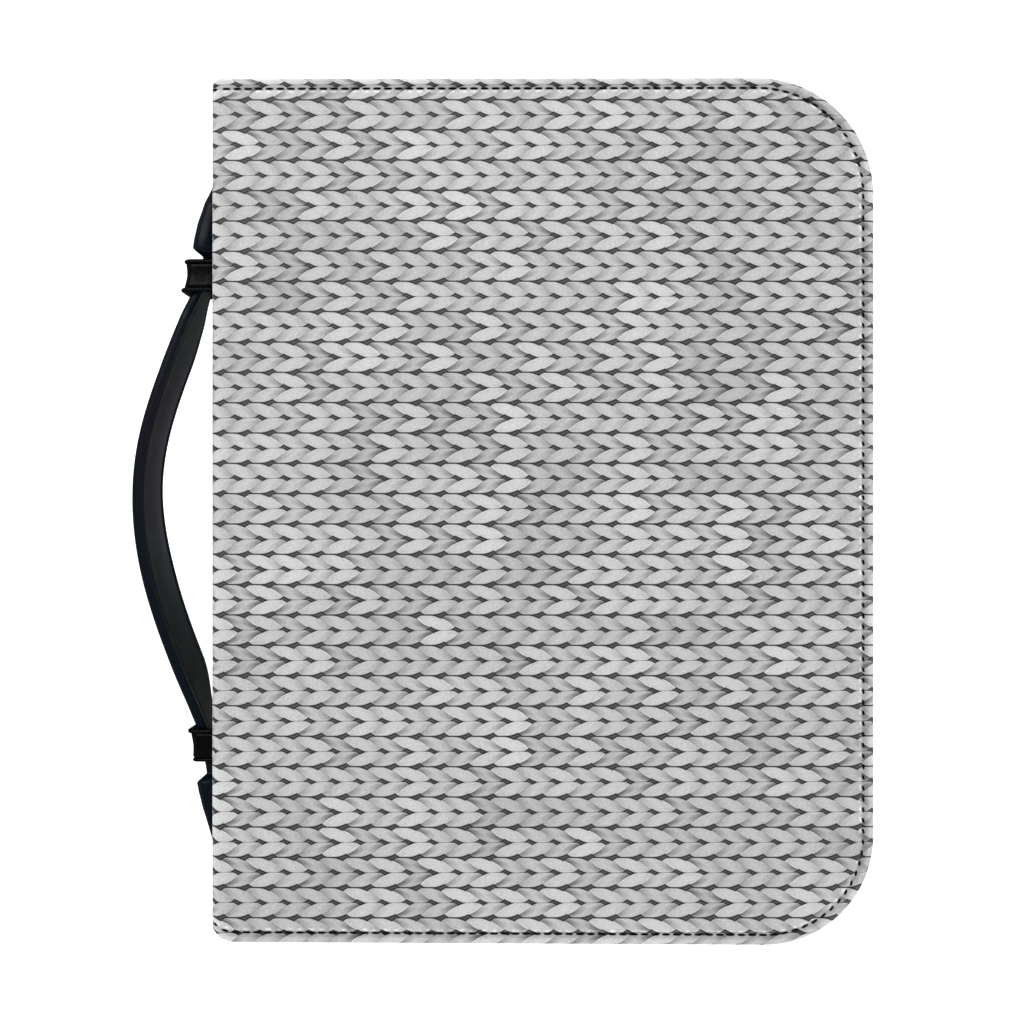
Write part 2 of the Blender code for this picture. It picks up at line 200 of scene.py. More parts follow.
# A mesh piece at the origin from points and faces of one size, shaded smooth
def meshPiece(name, points, faces, material, uvs=None, outward=False):
    mesh = bpy.data.meshes.new(name)
    size = faces.shape[1]
    mesh.vertices.add(len(points))
    mesh.vertices.foreach_set("co", points.astype(np.float32).ravel())
    mesh.loops.add(faces.size)
    mesh.loops.foreach_set("vertex_index", faces.astype(np.int32).ravel())
    mesh.polygons.add(len(faces))
    mesh.polygons.foreach_set("loop_start", np.arange(0, faces.size, size, dtype=np.int32))
    for label, values in (uvs or {}).items():
        layer = mesh.uv_layers.new(name=label)
        flat = values.reshape(-1, 2)[faces.ravel()]
        layer.data.foreach_set("uv", flat.astype(np.float32).ravel())
    mesh.update(calc_edges=True)
    mesh.validate()
    closeMesh(mesh, outward)
    mesh.materials.append(material)
    mesh.shade_smooth()
    piece = bpy.data.objects.new(name, mesh)
    bpy.context.scene.collection.objects.link(piece)
    return piece


# Merges coincident points and, where asked, turns all faces outward
def closeMesh(mesh, outward):
    import bmesh
    work = bmesh.new()
    work.from_mesh(mesh)
    bmesh.ops.remove_doubles(work, verts=work.verts, dist=2e-6)
    if outward:
        bmesh.ops.recalc_face_normals(work, faces=work.faces)
    work.to_mesh(mesh)
    work.free()


def dress(piece, slot, *nodes):
    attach(piece, "root")
    if nodes:
        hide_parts(*nodes)
    return piece


def smoothEase(share):
    share = np.clip(share, 0.0, 1.0)
    return share * share * (3 - 2 * share)


# The cover's outline

def straightHead(x):
    return cover["height"] / 2 + cover["headFlare"] * (x - spineX) / cover["width"]


def straightFoot(x):
    return -cover["height"] / 2 - cover["footFlare"] * (x - spineX) / cover["width"]


# How far a corner of the given radius has fallen from its straight edge at x
def cornerDrop(x, radius):
    run = np.clip(x - (foreX - radius), 0.0, radius)
    return radius - np.sqrt(radius * radius - run * run)


# How far the edge is drawn in beside the spine: a parabola over a short length
def spinePull(x, pull, length):
    away = np.clip((x - spineX) / length, 0.0, 1.0)
    return pull * (1 - away) ** 2


def headEdge(x):
    return straightHead(x) - cornerDrop(x, cover["headCorner"]) - spinePull(x, *cover["headPull"])


def footEdge(x):
    return straightFoot(x) + cornerDrop(x, cover["footCorner"]) + spinePull(x, *cover["footPull"])


# Distance inside the outline for points of a panel. Beside a corner it is read on its circle;
# elsewhere the nearest straight side counts.
def edgeField(x, y):
    head = y > 0
    radius = np.where(head, cover["headCorner"], cover["footCorner"])
    reach = np.where(head, straightHead(x), -straightFoot(x))
    outX = x - (foreX - radius)
    outY = np.abs(y) - (reach - radius)
    round_ = np.hypot(np.maximum(outX, 0), np.maximum(outY, 0))
    away = radius - (round_ + np.minimum(np.maximum(outX, outY), 0))
    drawn = np.where(head, headEdge(x) - y, y - footEdge(x))
    near = x < spineX + 0.03
    away = np.where(near, np.minimum(away, drawn), away)
    return np.maximum(away, 0.0)


# The printed wrap: one U-shaped wall whose two faces meet in a rounded rim

wrapLook = {
    "columns": 96,  # across a panel
    "rows": 96,  # from foot to head
    "spineColumns": 18,
    "foldColumns": 7,
    "grooveAt": 0.0036,  # stitch line from the edge
    "grooveDepth": 0.00014,
    "grooveWidth": 0.0007,
    "edgeDip": 0.0005,  # how far the rim lies under the panel
    "edgeDipLength": 0.0050,
}


# Places from 0 to 1 that crowd towards the ends given, for rows beside an edge
def crowded(count, length, bothEnds):
    close = np.array([0, 0.12, 0.35, 0.7, 1.1, 1.5, 1.9, 2.3, 2.7, 3.1, 3.5, 3.9, 4.5, 5.3, 6.4]) * 1e-3
    close = close / length
    if bothEnds:
        middle = np.linspace(close[-1], 1 - close[-1], count)[1:-1]
        return np.concatenate([close, middle, (1 - close)[::-1]])
    return np.concatenate([close, np.linspace(close[-1], 1, count)[1:]])


# Section of the wrap's outer face from the front fore edge round the spine to the back fore edge:
# x, z, the outward normal, the run of the print along it and how much of it is panel
def wrapSection():
    fold = cover["fold"]
    half = midZ - fold
    across = crowded(wrapLook["columns"], cover["width"] - fold, False)
    frontX = foreX - across * (cover["width"] - fold)
    turn = np.linspace(0, math.pi / 2, wrapLook["foldColumns"] + 1)[1:-1]
    share = np.linspace(1, -1, wrapLook["spineColumns"] + 1)
    inward = cover["spineRecess"] * (1 - share**4)
    spineZ = midZ + half * share
    x = np.concatenate([frontX, spineX + fold * (1 - np.sin(turn)), spineX + inward])
    z = np.concatenate([np.full(len(frontX), cover["depth"]), cover["depth"] - fold * (1 - np.cos(turn)), spineZ])
    count = len(frontX) + len(turn)
    x = np.concatenate([x, x[:count][::-1]])
    z = np.concatenate([z, (cover["depth"] - z[:count])[::-1]])
    stepX = np.gradient(x)
    stepZ = np.gradient(z)
    long = np.hypot(stepX, stepZ)
    normal = np.stack([stepZ / long, -stepX / long], -1)
    normal[: len(frontX)] = (0, 1)
    normal[-len(frontX):] = (0, -1)
    run = np.concatenate([[0], np.cumsum(np.hypot(np.diff(x), np.diff(z)))])
    kind = np.zeros(len(x))
    kind[: len(frontX)] = 1
    kind[-len(frontX):] = -1
    return x, z, normal, foreX - run, kind


def buildWrap(material):
    x, z, normal, run, kind = wrapSection()
    rows = crowded(wrapLook["rows"], cover["height"], True)
    head = headEdge(x)[:, None]
    foot = footEdge(x)[:, None]
    gridX = np.repeat(x[:, None], len(rows), 1)
    gridY = foot + (head - foot) * rows
    away = edgeField(gridX, gridY)
    onFold = (kind == 0)[:, None]
    away = np.where(onFold, np.minimum(head - gridY, gridY - foot), away)
    onSpine = (np.abs(z - midZ) < midZ - cover["fold"] * 0.6)[:, None]
    sew = sewCount(gridX, gridY)
    # the wall's half thickness follows a quarter circle into the rim
    radius = cover["wall"] / 2
    into = np.clip(away / cover["edgeRadius"], 0, 1)
    half = radius * np.sqrt(1 - (1 - into) ** 2)
    across = 2 * gridX / cover["width"]
    share = 2 * rows[None, :] - 1
    crown = cover["crown"] * (1 - across**4) * (1 - share**4)
    dip = wrapLook["edgeDip"] * np.clip(1 - away / wrapLook["edgeDipLength"], 0, 1) ** 2
    groove = wrapLook["grooveDepth"] * np.exp(-(((away - wrapLook["grooveAt"]) / wrapLook["grooveWidth"]) ** 2))
    panel = (kind == 1)[:, None]
    outer = half - radius - np.where(onFold, 0, dip + groove)
    outer = outer + np.where(panel, crown, 0)
    outer = np.where((kind == -1)[:, None], half - radius, outer)
    inner = -half - radius + np.where(panel, crown, 0) - np.where(panel, dip, 0) * (into < 1)
    place = np.stack([gridX, gridY, np.repeat(z[:, None], len(rows), 1)], -1)
    out = np.stack([normal[:, 0], np.zeros(len(x)), normal[:, 1]], -1)[:, None, :]
    outerFace = place + out * outer[..., None]
    innerFace = place + out * inner[..., None]
    ring = np.concatenate([outerFace, innerFace[:, ::-1]], 1)
    printUv = np.stack([np.repeat(run[:, None], len(rows), 1), gridY], -1)
    hemUv = np.stack([sew, away], -1)
    hemUv = np.where(onSpine[..., None], np.array([0.0, 1.0]), hemUv)
    hemBack = hemUv.copy()
    hemBack[..., 1] += 0.5
    uvs = {
        "print": np.concatenate([printUv, printUv[:, ::-1]], 1),
        "hem": np.concatenate([hemUv, hemBack[:, ::-1]], 1),
    }
    piece = gridPiece("printed_wrap", ring, material, uvs, closeColumns=True, outward=True)
    return dress(piece, "printed_leather", "cover_wrap")


# Number of the stitch beside a point, with its fraction: that of the nearest point of the hem line
def sewCount(x, y):
    line, _, at = hemPath(wrapLook["grooveAt"], 0.0004)
    count = at / at[-1] * hemStitches()
    flat = np.stack([x.ravel(), y.ravel()], -1)
    nearest = [np.argmin(((part[:, None] - line[None]) ** 2).sum(-1), 1) for part in np.array_split(flat, 40)]
    return count[np.concatenate(nearest)].reshape(x.shape)


def hemStitches():
    return len(hemPath(wrapLook["grooveAt"], leather["stitchPitch"])[0]) - 1


# The knit print. Chains run along x, and each is a row of > stitches: an upper row of leaves that
# slant down to the right and the same row mirrored under it. A leaf's side runs from a notch at its
# top to one at its bottom along an S. Each stitch has a random rank, and where two leaves meet the
# higher one overlaps: it has a light rim, and the lower one lies in its shadow.
knit = {
    "pitchX": 0.0077827,  # one stitch
    "pitchY": 0.0096203,  # one chain
    "notchX": -0.071132,  # a top notch
    "chainY": 0.024593,  # a line between chains
    "mirrorShift": 0.139,  # the lower row's shift, in stitches
    "sideRun": 0.586,  # a side's run between notches, in stitches
    "notchTop": 0.20,
    "notchFoot": 0.81,
    "leafGrey": 0.765,
    "rankGrey": 0.135,
    "gapGrey": 0.31,
    "lineGrey": 0.13,
    "middleLineGrey": 0.40,
    "rimGrey": 0.045,
    "shadowGrey": 0.42,
    "creaseGrey": 0.12,
}


# Rank of one stitch of a chain, from 0 to 1: its own chance mixed with that of its column
def stitchRank(maker, stitch, chain):
    own = maker.random(stitch, chain, 3.0)
    column = maker.random(stitch, (chain / 3.0 + 0.4).floor(), 11.0)
    return own * 0.55 + column * 0.45


# Depth of the gap beside a notch: full at the notch and falling to nothing at its own reach on
# either side, in stitches along the row
def notch(place, depth, before, after, power):
    away = (place + 0.5).fract() - 0.5
    isAfter = away > 0.0
    reach = before + (after - before) * isAfter
    return (1 - abs(away) / reach).most(0.0) ** power * depth


def knitGrey(maker, x, y):
    chains = (knit["chainY"] - y) / knit["pitchY"]
    chain = chains.floor()
    within = chains.fract()
    lower = within > 0.5
    upper = 1 - lower
    v = 1 - abs(within * 2 - 1)
    along = (x - knit["notchX"]) / knit["pitchX"] - lower * knit["mirrorShift"]
    t = (v - (knit["notchTop"] + knit["notchFoot"]) / 2) / ((knit["notchFoot"] - knit["notchTop"]) / 2)
    bend = t * 0.80 + t * t * t * 0.20
    side = (bend + 1) * (knit["sideRun"] / 2)
    sheared = along - side
    stitch = (sheared + 0.5).floor()
    offset = sheared - stitch
    leftRank = stitchRank(maker, stitch - 1, chain)
    rightRank = stitchRank(maker, stitch, chain)
    lead = leftRank - rightRank
    swell = (1 - t * t).most(0.0)
    edge = offset - lead * swell * 0.14
    isLeft = edge < 0.0
    near = abs(edge)
    ownLead = lead * (isLeft * 2 - 1)
    ownRank = leftRank * isLeft + rightRank * (1 - isLeft)
    leafIndex = stitch - isLeft
    middle = near.step(0.0, 0.5)
    body = knit["leafGrey"] + (ownRank - 0.5) * knit["rankGrey"] + middle * 0.03
    rim = (1 - near.step(0.02, 0.13)) * (ownLead * 4).clip() * knit["rimGrey"]
    # a lower leaf darkens towards the end that goes under its neighbour
    toEnd = t * (isLeft * 2 - 1)
    under = (0.30 - ownLead * 1.9).clip()
    shade = (1 - near / 0.5).most(0.0) * toEnd.step(-1.1, 1.15)
    shadow = shade * under * knit["shadowGrey"]
    crease = (1 - near.step(0.0, 0.07)) * (0.6 - ownLead * 3).clip() * knit["creaseGrey"]
    tips = toEnd.step(0.3, 1.5) * 0.05
    fibrePlace = maker.vector(sheared * 13.0 + leafIndex * 3.7, v * 3.0 + chain * 5.1, lower * 4.0)
    fibres = maker.noise(fibrePlace, 2.2, 2.0, 0.7)
    grain = maker.noise(maker.vector(along * 14.0, v * 8.5 + chain * 3.1, lower * 5.0), 2.2, 1.0, 0.5)
    leaf = body + rim - shadow - crease - tips + (fibres - 0.5) * 0.36 + (grain - 0.5) * 0.28
    # gaps beside the line between chains and beside the line between the two rows
    px = 1 / 15.14
    edgeGap = notch(along, 3.2 * px, 0.42, 0.22, 1.6) + 0.6 * px
    steep = notch(along - 0.590, 3.1 * px, 0.24, 0.38, 1.5)
    broad = notch(along - 0.580, 2.3 * px, 0.20, 0.26, 1.4)
    tail = notch(along - 0.60, 0.5 * px, 0.55, 0.30, 1.0)
    footGap = steep * upper + broad * lower + tail
    topGap = edgeGap - v
    footGap = v - (1 - footGap)
    topLine = knit["lineGrey"] + (knit["gapGrey"] - knit["lineGrey"]) * topGap.step(0.06, 0.13)
    footLine = knit["lineGrey"] + (knit["gapGrey"] - knit["lineGrey"]) * footGap.step(0.06, 0.13)
    inTop = topGap.step(-0.035, 0.035)
    inFoot = footGap.step(-0.035, 0.035)
    grey = leaf * (1 - inTop) + topLine * inTop
    return grey * (1 - inFoot) + footLine * inFoot


leather = {
    "stitchPitch": 0.00342,
    "grain": 1400.0,  # pebbles a metre
    "grainDepth": 0.00004,
    "puckerDepth": 0.00025,
    "puckerHighlightGrey": 0.24,
}


def printedLeather():
    maker = Maker("printedKnitLeather", roughness=0.5, Specular_IOR_Level=0.35)
    x, y = maker.uv("print")
    sew, away = maker.uv("hem")
    grey = knitGrey(maker, x, y)
    # beside every stitch the leather is drawn down at the thread and swells into a pucker, whose pale colour is a
    # painted highlight
    line = wrapLook["grooveAt"]
    beat = (sew * (2 * math.pi) + math.pi / 2).sin() * 0.5 + 0.5
    groove = away.hill(line, 0.0008)
    ragged = maker.noise(maker.objectPlace(), 900.0, 1.0, 0.5)
    pucker = away.hill(line + 0.0008, 0.0009) * beat * ragged.step(0.30, 0.55)
    # the band from the stitch line out to the edge is lighter towards the edge: partly a paler print on the roll,
    # partly painted light on the rolled edge
    outer = 1 - away.step(0.0, line)
    shadeBesideLine = away.hill(line - 0.0009, 0.0012)
    # painted light: each pucker gets a painted highlight, and the groove and the strip just outside the stitch line
    # get painted shade
    grey = grey + pucker * leather["puckerHighlightGrey"] - groove * 0.10 - shadeBesideLine * 0.09 + outer * 0.06
    swell = pucker - groove * 0.8
    place = maker.objectPlace()
    pebbles = maker.noise(place, leather["grain"], 2.0, 0.6)
    patches = maker.noise(place, 22.0, 2.0, 0.5)
    grey = grey + (patches - 0.5) * 0.05
    drawn = maker.bump(swell, leather["puckerDepth"], 0.6)
    normal = maker.bump(pebbles, leather["grainDepth"], 0.5, drawn)
    roughness = 0.46 + pebbles * 0.12
    return maker.put(Base_Color=maker.grey(grey), Roughness=roughness, Normal=normal)


# Stitches: closed thread beads along the hem line, long on the head and foot, short and slanted
# down the fore edge

stitch = {"radius": 0.00036, "long": 0.0026, "short": 0.0017, "slant": 0.30}


# Points and unit tangents of the outline drawn in by inset, every pitch, from head to foot
def hemPath(inset, pitch, start=0.0017):
    headR = cover["headCorner"] - inset
    footR = cover["footCorner"] - inset
    turn = np.linspace(0, math.pi / 2, 400)
    headTurn = foreX - cover["headCorner"]
    footTurn = foreX - cover["footCorner"]
    x = np.linspace(spineX + start, headTurn, 900, endpoint=False)
    pull = spinePull(x, *cover["headPull"])
    points = [np.stack([x, straightHead(x) - inset - pull], -1)]
    arcX = headTurn + headR * np.sin(turn)
    headMid = straightHead(headTurn) - cover["headCorner"]
    points.append(np.stack([arcX, headMid + headR * np.cos(turn)], -1))
    footMid = straightFoot(footTurn) + cover["footCorner"]
    y = np.linspace(headMid, footMid, 900)[1:-1]
    points.append(np.stack([np.full(len(y), foreX - inset), y], -1))
    arcX = footTurn + footR * np.sin(turn[::-1])
    points.append(np.stack([arcX, footMid - footR * np.cos(turn[::-1])], -1))
    x = np.linspace(footTurn, spineX + start, 900)[1:]
    pull = spinePull(x, *cover["footPull"])
    points.append(np.stack([x, straightFoot(x) + inset + pull], -1))
    path = np.concatenate(points)
    length = np.concatenate([[0], np.cumsum(np.hypot(*np.diff(path, axis=0).T))])
    count = max(int(round(length[-1] / pitch)), 2)
    at = np.linspace(0, length[-1], count + 1)
    place = np.stack([np.interp(at, length, path[:, 0]), np.interp(at, length, path[:, 1])], -1)
    ahead = np.stack([np.interp(at + 1e-4, length, path[:, 0]), np.interp(at + 1e-4, length, path[:, 1])], -1)
    behind = np.stack([np.interp(at - 1e-4, length, path[:, 0]), np.interp(at - 1e-4, length, path[:, 1])], -1)
    along = ahead - behind
    return place, along / np.hypot(along[:, 0], along[:, 1])[:, None], at


# One bead is a sphere of rings and sides stretched along its thread, and pushed a little into the
# leather. All beads are made at once as arrays (bead, ring, side, xyz).
def beadMesh(name, centres, along, up, lengths, radius, material, rings=5, sides=6):
    turn = np.linspace(0, math.pi, rings + 2)
    spin = np.linspace(0, 2 * math.pi, sides, endpoint=False)
    side = np.cross(up, along)
    stretch = -np.cos(turn)[None, :] * lengths[:, None] / 2
    girth = radius * np.sin(turn) ** 0.7
    arch = radius * 0.5 * np.sin(turn)
    place = centres[:, None, None, :] + along[:, None, None, :] * stretch[:, :, None, None]
    place = place + up[:, None, None, :] * (arch[None, :, None, None] + (girth[:, None] * np.sin(spin))[None, :, :, None])
    place = place + side[:, None, None, :] * (girth[:, None] * np.cos(spin))[None, :, :, None]
    count = len(centres)
    index = np.arange(count * (rings + 2) * sides).reshape(count, rings + 2, sides)
    wrapped = np.concatenate([index, index[:, :, :1]], 2)
    quads = np.stack([wrapped[:, :-1, :-1], wrapped[:, :-1, 1:], wrapped[:, 1:, 1:], wrapped[:, 1:, :-1]], -1)
    return meshPiece(name, place.reshape(-1, 3), quads.reshape(-1, 4), material, outward=True)


# How far the front has fallen on the quarter circle of the fold at x
def foldDrop(x):
    into = np.clip((spineX + cover["fold"] - x) / cover["fold"], 0, 1)
    return cover["fold"] * (1 - np.sqrt(1 - into * into))


def frontHeight(x, y):
    across = 2 * x / cover["width"]
    head = headEdge(x)
    foot = footEdge(x)
    share = (2 * y - head - foot) / (head - foot)
    return cover["crown"] * (1 - across**4) * (1 - np.clip(share, -1, 1) ** 4)


def buildStitches(material):
    place, along, _ = hemPath(wrapLook["grooveAt"], leather["stitchPitch"])
    foreSide = np.abs(along[:, 1]) ** 1.5
    lengths = stitch["long"] + (stitch["short"] - stitch["long"]) * foreSide
    slant = stitch["slant"] * foreSide
    turned = np.stack([
        along[:, 0] * np.cos(slant) - along[:, 1] * np.sin(slant),
        along[:, 0] * np.sin(slant) + along[:, 1] * np.cos(slant),
        np.zeros(len(along)),
    ], -1)
    up = np.zeros((len(along), 3))
    up[:, 2] = 1
    drop = wrapLook["grooveDepth"] + wrapLook["edgeDip"] * (1 - wrapLook["grooveAt"] / wrapLook["edgeDipLength"]) ** 2
    drop = drop + foldDrop(place[:, 0])
    level = cover["depth"] + frontHeight(place[:, 0], place[:, 1]) - drop
    front = np.stack([place[:, 0], place[:, 1], level], -1)
    piece = beadMesh("front_stitches", front, turned, up, lengths, stitch["radius"], material)
    dress(piece, "printed_leather")
    back = np.stack([place[:, 0], place[:, 1], stitch["radius"] * 0.9 + foldDrop(place[:, 0])], -1)
    piece = beadMesh("back_stitches", back, turned, -up, lengths, stitch["radius"] * 0.8, material)
    dress(piece, "printed_leather")


def blackThread():
    maker = Maker("blackThread", roughness=0.7, Specular_IOR_Level=0.1)
    place = maker.objectPlace()
    twist = maker.noise(place, 3000.0, 1.0)
    return maker.put(Base_Color=maker.grey(0.02 + twist * 0.03), Normal=maker.bump(twist, 0.00005, 0.6))


# Zip: two woven tapes, the coil chain and its slider

zipLook = {
    "gap": 0.0003,
    "tapeThickness": 0.0012,
    "insetAtPanel": 0.0045,
    "insetAtChain": 0.0054,
    "chainWidth": 0.0050,
    "chainThickness": 0.0024,
    "chainStart": 0.0170,
    "toothPitch": 0.00135,
    "tapeRows": 14,
    "sag": 0.0005,
}


# A tape is a thin closed band: its outer face from panel to chain and its inner face back again,
# bowed out a little between its stitched edges and gently rippled along its run
def buildTape(name, atPanel, atChain, material, node):
    start = cover["spineRecess"] + cover["wall"] + zipLook["gap"]
    place, along, run = hemPath(0.0, 0.0022, start)
    inward = np.stack([along[:, 1], -along[:, 0]], -1)
    share = np.linspace(0, 1, zipLook["tapeRows"])
    inset = zipLook["insetAtPanel"] + (zipLook["insetAtChain"] - zipLook["insetAtPanel"]) * share
    bow = zipLook["sag"] * np.sin(math.pi * share)
    ripple = 0.00018 * np.sin(run * 190) * np.sin(run * 61)
    inset = inset[None, :] - bow[None, :] * (1 + ripple[:, None] / zipLook["sag"])
    z = atPanel + (atChain - atPanel) * share
    height = np.repeat(z[None, :], len(place), 0)
    fullX = np.repeat(place[:, :1], len(share), 1)
    fullY = np.repeat(place[:, 1:], len(share), 1)
    outer = np.stack([fullX + inward[:, :1] * inset, fullY + inward[:, 1:] * inset, height], -1)
    inset = inset + zipLook["tapeThickness"]
    inner = np.stack([fullX + inward[:, :1] * inset, fullY + inward[:, 1:] * inset, height], -1)
    band = np.concatenate([outer, inner[:, ::-1]], 1)
    uvRun = np.repeat(run[:, None], len(share), 1)
    uv = np.stack([uvRun, np.repeat((share * abs(atChain - atPanel))[None, :], len(run), 0)], -1)
    uvs = {"weave": np.concatenate([uv, uv[:, ::-1]], 1)}
    ends = np.concatenate([band[:1].mean(1, keepdims=True).repeat(band.shape[1], 1), band,
                           band[-1:].mean(1, keepdims=True).repeat(band.shape[1], 1)])
    uvs["weave"] = np.concatenate([uvs["weave"][:1], uvs["weave"], uvs["weave"][-1:]])
    piece = gridPiece(name, ends, material, uvs, closeColumns=True, outward=True)
    return dress(piece, "zip_tape", node)


def wovenTape():
    maker = Maker("wovenZipTape", roughness=0.85, Sheen_Weight=0.3)
    run, across = maker.uv("weave")
    zig = abs((across * 900).fract() - 0.5)
    rib = ((run * 1400 + zig * 2).fract() - 0.5)
    weave = 1 - abs(rib) * 2
    seam = across.hill(0.0022, 0.0004)
    thread = ((run * 420).fract() > 0.25) * seam
    grey = 0.10 + weave * 0.05 - seam * 0.03 + thread * 0.10
    height = weave * 0.6 + thread
    return maker.put(Base_Color=maker.grey(grey), Normal=maker.bump(height, 0.00012, 0.8))


# The chain: every tooth is a bead across the middle line, from one tape and then from the other
def buildChain(coilMaterial):
    inset = zipLook["insetAtChain"] + zipLook["tapeThickness"] / 2
    place, along, run = hemPath(inset, zipLook["toothPitch"] / 2, zipLook["chainStart"])
    inward = np.stack([along[:, 1], -along[:, 0], np.zeros(len(along))], -1)
    side = np.where(np.arange(len(place)) % 2 == 0, 1.0, -1.0)
    width = zipLook["chainWidth"]
    centres = np.stack([place[:, 0], place[:, 1], midZ + side * width * 0.13], -1)
    up = -inward
    tilt = 0.14 * side[:, None]
    along3 = np.stack([along[:, 0], along[:, 1], np.zeros(len(along))], -1)
    across = np.array([0.0, 0.0, 1.0])[None, :] + along3 * tilt
    across = across / np.linalg.norm(across, axis=1)[:, None]
    lengths = np.full(len(place), width * 0.70)
    piece = beadMesh("zip_coils", centres - up * 0.0003, across, up, lengths, zipLook["toothPitch"] * 0.36,
                     coilMaterial, rings=4, sides=6)
    dress(piece, "zip_chain", "zip_chain")


def nylonCoil():
    maker = Maker("nylonCoil", roughness=0.35)
    place = maker.objectPlace()
    wear = maker.noise(place, 600.0, 2.0)
    return maker.put(Base_Color=maker.grey(0.09 + wear * 0.05), Roughness=0.3 + wear * 0.2)


# Handle

strap = {
    "keeperSpacing": 0.1527,
    "keeperLength": 0.0104,
    "keeperWall": 0.0011,
    "keeperBead": 0.0008,
    "keeperCorner": 0.0014,
    "keeperFlare": 0.0009,
    "sidePlay": 0.0005,
    "topPlay": 0.0002,
    "width": 0.0210,
    "thickness": 0.0032,
    "neckWidth": 0.0165,
    "bowHeight": 0.0256,
    "bowApex": 0.0050,
    "barbLength": 0.0260,
    "barbWidth": 0.0225,
    "barbThickness": 0.0064,
    "shoulder": 0.0026,
    "twistUpper": math.radians(9.0),
    "twistLower": math.radians(4.5),
    "slack": 0.0010,  # the bow's upper half hangs in by this much
    "slackAt": 0.046,
    "pivot": 0.30,  # how much of the lean is taken up at the strap's upper edge
    "lift": {1: 0.0036, -1: 0.0028},
    "power": {1: 1.34, -1: 1.60},
    "barbGap": {1: 0.0004, -1: 0.0038},
    "crease": 0.0031,  # from the edge
    "faceGrey": 0.205,
    "edgeGrey": 0.085,
    "plumAt": 0.092,  # along the strap
}
# the barb from shoulder to tip: place, width and added height as shares
barbAlong = np.array([0.00, 0.12, 0.32, 0.60, 0.80, 0.95, 1.00])
barbWidths = np.array([1.00, 1.00, 0.94, 0.80, 0.60, 0.36, 0.20])
barbHeights = {
    1: np.array([1.12, 1.16, 1.08, 0.62, 0.02, -0.38, -0.53]),
    -1: np.array([1.00, 0.92, 0.70, 0.20, -0.12, -0.38, -0.53]),
}


def spineOut(offset):
    share = offset / (midZ - cover["fold"])
    return -cover["spineRecess"] * (1 - share**4)


def keeperBack():
    halfWidth = strap["neckWidth"] / 2 + strap["sidePlay"] + strap["keeperWall"] + strap["keeperBead"]
    return spineOut(halfWidth) + zipLook["gap"]


# Height of the strap's middle over the spine plane: a bow between the keepers that settles on the
# spine beyond them
def strapLift(y):
    side = np.where(y > strap["bowApex"], 1, -1)
    lift = np.where(side > 0, strap["lift"][1], strap["lift"][-1])
    power = np.where(side > 0, strap["power"][1], strap["power"][-1])
    mouth = side * (strap["keeperSpacing"] + strap["keeperLength"]) / 2
    share = (y - strap["bowApex"]) / (mouth - strap["bowApex"])
    bow = lift + (strap["bowHeight"] - lift) * np.maximum(1 - share * share, 0) ** power
    rest = spineOut(strap["barbWidth"] / 2) + zipLook["gap"] + strap["thickness"] / 2
    past = np.clip((np.abs(y) - np.abs(mouth)) / strap["barbLength"], 0, 1)
    return np.where(share <= 1, bow, rest + (lift - rest) * (1 - past) ** 2)


# The strap's lean so that its inner face shows: it sets in below the upper keeper, grows past the
# middle of the bow and fades before the lower keeper
def strapTwist(y):
    share = (strap["bowApex"] - y) / (strap["keeperSpacing"] / 2)
    upper = smoothEase((share + 0.95) / 0.38)
    lower = smoothEase((share + 0.10) / 0.50)
    lean = strap["twistUpper"] * upper + strap["twistLower"] * lower
    return lean * smoothEase((1 - share) / 0.28)


# Half of a rounded rectangle's outline as (across, height), counter-clockwise, for many sections
# at once: width, low and high are arrays, one value for each section
def roundedRing(halfWidth, low, high, corner, steps):
    rings = []
    for right, up, begin in ((1, 1, 0), (-1, 1, 90), (-1, -1, 180), (1, -1, 270)):
        turn = np.radians(begin + 90 * np.arange(steps + 1) / steps)[None, :]
        across = (right * (halfWidth - corner))[:, None] + corner[:, None] * np.cos(turn)
        base = np.where(up > 0, high - corner, low + corner)[:, None]
        rings.append(np.stack([across, base + corner[:, None] * np.sin(turn)], -1))
    return rings


# Sections along the strap: y, width and height of the outer face over its middle
def strapStations():
    half = strap["thickness"] / 2
    added = strap["barbThickness"] - strap["thickness"]
    rows = []
    for side in (1, -1):
        keeper = side * strap["keeperSpacing"] / 2
        neck = keeper + side * (strap["keeperLength"] / 2 + strap["barbGap"][side])
        shoulder = neck + side * strap["shoulder"]
        ends = np.linspace(1, 0, 34)
        y = shoulder + side * strap["barbLength"] * ends
        width = strap["barbWidth"] * np.interp(ends, barbAlong, barbWidths)
        high = half + added * np.interp(ends, barbAlong, barbHeights[side])
        ease = smoothEase(np.linspace(1, 0, 7)[1:])
        stepY = shoulder - side * strap["shoulder"] * np.linspace(0, 1, 7)[1:]
        y = np.concatenate([y, stepY])
        width = np.concatenate([width, strap["neckWidth"] + (strap["barbWidth"] - strap["neckWidth"]) * ease])
        high = np.concatenate([high, half + added * barbHeights[side][0] * ease])
        reach = abs(neck - strap["bowApex"])
        away = np.linspace(0, 1, 150)[1:]
        gripY = neck + (strap["bowApex"] - neck) * away
        inKeeper = np.abs(gripY - keeper) - strap["keeperLength"] / 2
        widen = smoothEase((np.abs(neck) - np.abs(gripY) - strap["keeperLength"]) / (strap["keeperLength"] * 0.9))
        widen = np.where(np.sign(gripY) == side, widen, 1.0)
        y = np.concatenate([y, gripY])
        width = np.concatenate([width, strap["neckWidth"] + (strap["width"] - strap["neckWidth"]) * widen])
        high = np.concatenate([high, np.full(len(gripY), half)])
        rows.append((y, width, high))
    upper, lower = rows
    return [np.concatenate([a, b[:-1][::-1]]) for a, b in zip(upper, lower)]


